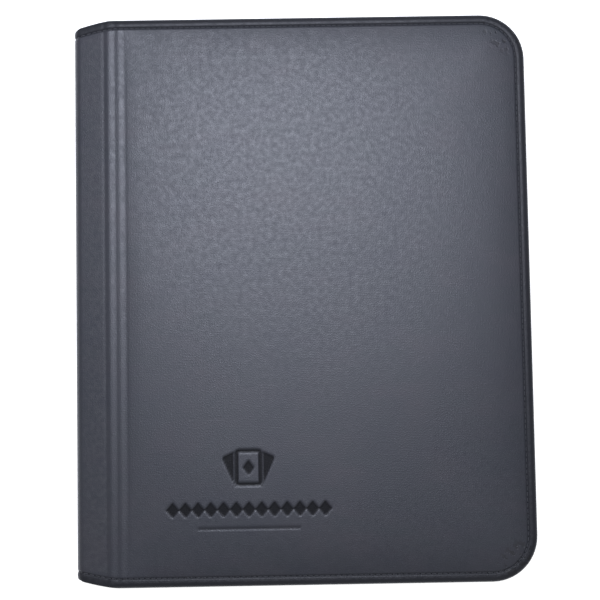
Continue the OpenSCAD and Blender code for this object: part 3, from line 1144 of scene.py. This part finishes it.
def pocket(shell, x0, y0, wide, tall, way, phase):
    """The film over one pocket: welded down on three sides, slack, and open towards the
    spine."""
    grid = []
    for a in POCKET_SHARES:
        line = []
        for b in POCKET_SHARES:
            ends = rise(1 - a, 0, 0.06) * rise(min(b, 1 - b), 0, 0.05)
            sag = 1 - 0.22 * math.sin(3 * math.pi * b + phase) * math.sin(math.pi * a)
            z = POCKET_LOW + (POCKET_HIGH - POCKET_LOW) * ends * sag
            x = x0 + (0.01 + 0.99 * a) * wide
            line.append(shell.add(x, y0 + b * tall, way * z))
        grid.append(line)
    for near, far in zip(grid, grid[1:]):
        for j in range(len(POCKET_SHARES) - 1):
            shell.face((near[j], far[j], far[j + 1], near[j + 1]))


def pockets(low, high):
    """The clear film on both faces of one sheet: nine pockets a face, and their welds."""
    wide = (high.x - low.x - 4 * WELD_W) / ACROSS
    tall = (high.y - low.y - 4 * WELD_W) / ACROSS
    shell = Shell()
    for way in (-1, 1):
        def weld(x0, y0, x1, y1, radius):
            strip = rectangle(x0, y0, x1, y1, radius)
            prism(shell, strip, WELD_T, lambda a, b, h: (a, b, way * (WELD_Z + h)), 0.02 * MM, 1)

        for column in range(ACROSS):
            for row in range(ACROSS):
                x0 = low.x + WELD_W + column * (wide + WELD_W)
                y0 = low.y + WELD_W + row * (tall + WELD_W)
                pocket(shell, x0, y0, wide, tall, way, column)
        for k in range(ACROSS + 1):
            x = low.x + k * (wide + WELD_W)
            weld(x, low.y, x + WELD_W, high.y, 0.4 * MM)
            y = low.y + k * (tall + WELD_W)
            for column in range(ACROSS):
                x = low.x + WELD_W + column * (wide + WELD_W)
                weld(x + 0.02 * MM, y, x + wide - 0.02 * MM, y + WELD_W, 0.3 * MM)
    return shell.make("pockets_pattern", CLEAR, WELD)


def leaves():
    """Every leaf: a sheet and its pockets, each with its own mesh."""
    names = leaf_names()
    patterns = {
        "sheet": page(*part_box(names[0] + "_sheet")),
        "pockets": pockets(*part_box(names[0] + "_pockets")),
    }
    for leaf in names:
        low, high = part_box(leaf + "_sheet")
        for part, pattern in patterns.items():
            piece = bpy.data.objects.new(f"{leaf}_{part}_made", pattern.data.copy())
            piece.location.z = (low.z + high.z) / 2
            bpy.context.scene.collection.objects.link(piece)
            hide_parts(f"{leaf}_{part}")
            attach(piece, leaf)
    for pattern in patterns.values():
        bpy.data.objects.remove(pattern, do_unlink=True)


# ---------------- stage

WHITE = (1, 1, 1)
SKY_STRENGTH, FLOOR_GLOW, FLOOR_SIZE, FLOOR_Z = 0.43, 0.8, 8, -0.0004
KEY_COLOUR, KEY_SIZE, KEY_POWER = (0.82, 0.86, 1.0), 0.36, 4.3
FILL_SIZE, FILL_POWER = 0.8, 0.8

# The lens in millimetres, the camera's turn in degrees, and its place from the top's middle.
LENS = 100.7
CAMERA_TURN = (4.94, -0.4, -0.97)
CAMERA_PLACE = (-0.00188, -0.00178, 1.0)


def studio():
    scene = bpy.context.scene
    scene.view_settings.view_transform = "Standard"
    world = bpy.data.worlds.new("studio")
    world.use_nodes = True
    sky = world.node_tree.nodes["Background"]
    sky.inputs["Color"].default_value = (*WHITE, 1)
    sky.inputs["Strength"].default_value = SKY_STRENGTH
    scene.world = world
    bpy.ops.mesh.primitive_plane_add(size=FLOOR_SIZE, location=(0, 0, FLOOR_Z))
    floor = bpy.context.object
    floor.name = "floor"
    paper = material("pale_floor", (0.9, 0.9, 0.9), 0.8, 0.2, Emission_Strength=FLOOR_GLOW)
    paper.node_tree.nodes["Principled BSDF"].inputs["Emission Color"].default_value = (*WHITE, 1)
    floor.data.materials.append(paper)


def soft_light(name, place, aim, size, power, colour=WHITE):
    data = bpy.data.lights.new(name, "AREA")
    data.shape, data.size, data.energy, data.color = "DISK", size, power, colour
    lamp = bpy.data.objects.new(name, data)
    lamp.location = place
    lamp.rotation_euler = (Vector(aim) - Vector(place)).to_track_quat("-Z", "Y").to_euler()
    bpy.context.scene.collection.objects.link(lamp)


def camera():
    data = bpy.data.cameras.new("camera")
    data.lens = LENS
    turn = Euler([math.radians(angle) for angle in CAMERA_TURN], "XYZ")
    made = bpy.data.objects.new("camera", data)
    made.rotation_euler = turn
    made.location = Vector((0, 0, TOP)) + turn.to_matrix() @ Vector(CAMERA_PLACE)
    bpy.context.scene.collection.objects.link(made)
    bpy.context.scene.camera = made


for side in SIDES:
    cover(side)
    lining(side)
    zip_tape(side)
for side in SIDES:
    zip_coil(side)
skins = [spine_skin(side) for side in SIDES]
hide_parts("front_shoulder", "spine_skin", "spine_board")
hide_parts("back_shoulder")
end_tabs()
slider()
pull()
page_binding()
leaves()
studio()
soft_light("key", (-0.03, 0.21, 0.6), (0.0, 0.03, 0.03), KEY_SIZE, KEY_POWER, KEY_COLOUR)
soft_light("fill", (0.5, -0.9, 1.1), (0, 0, 0.03), FILL_SIZE, FILL_POWER)
camera()
